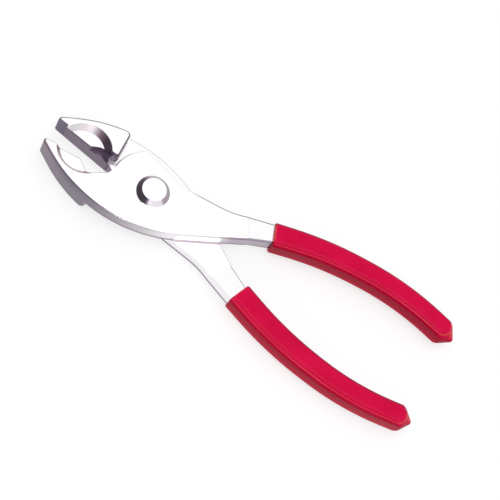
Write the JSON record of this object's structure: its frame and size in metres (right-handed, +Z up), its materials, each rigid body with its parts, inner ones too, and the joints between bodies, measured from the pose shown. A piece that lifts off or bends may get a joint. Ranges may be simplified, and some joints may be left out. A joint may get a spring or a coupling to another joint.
{
  "type": "hand pliers",
  "caption": "Plier-type decapping tool lying flat: lap-jointed steel jaws with a round seal pocket split between the lips, pivot bolt with flush round nut, and plastic-dipped bowed handles.",
  "frame": {"origin": "where the pivot axis meets the flat back face that the pliers lie on", "axes": "+X from the pivot towards the handles, +Z up from the back face to the front face, +Y to the handle of the half in front"},
  "size_m": [0.1654, 0.054, 0.0129],
  "materials": {
    "plated_steel": "satin chrome plate on forged steel",
    "bolt_steel": "bright plated turned steel",
    "dipped_vinyl": "glossy dip-moulded vinyl"
  },
  "bodies": {
    "front": {"front_half": "plated_steel", "pivot_bolt": "bolt_steel", "pivot_nut": "bolt_steel", "front_grip": "dipped_vinyl"},
    "rear": {"rear_half": "plated_steel", "rear_grip": "dipped_vinyl"}
  },
  "joints": [
    {"name": "jaw_pivot", "type": "hinge", "parent": "front", "child": "rear", "pos_m": [0, 0, 0.0054], "axis": [0, 0, 1], "range_deg": [-22, 13]}
  ]
}
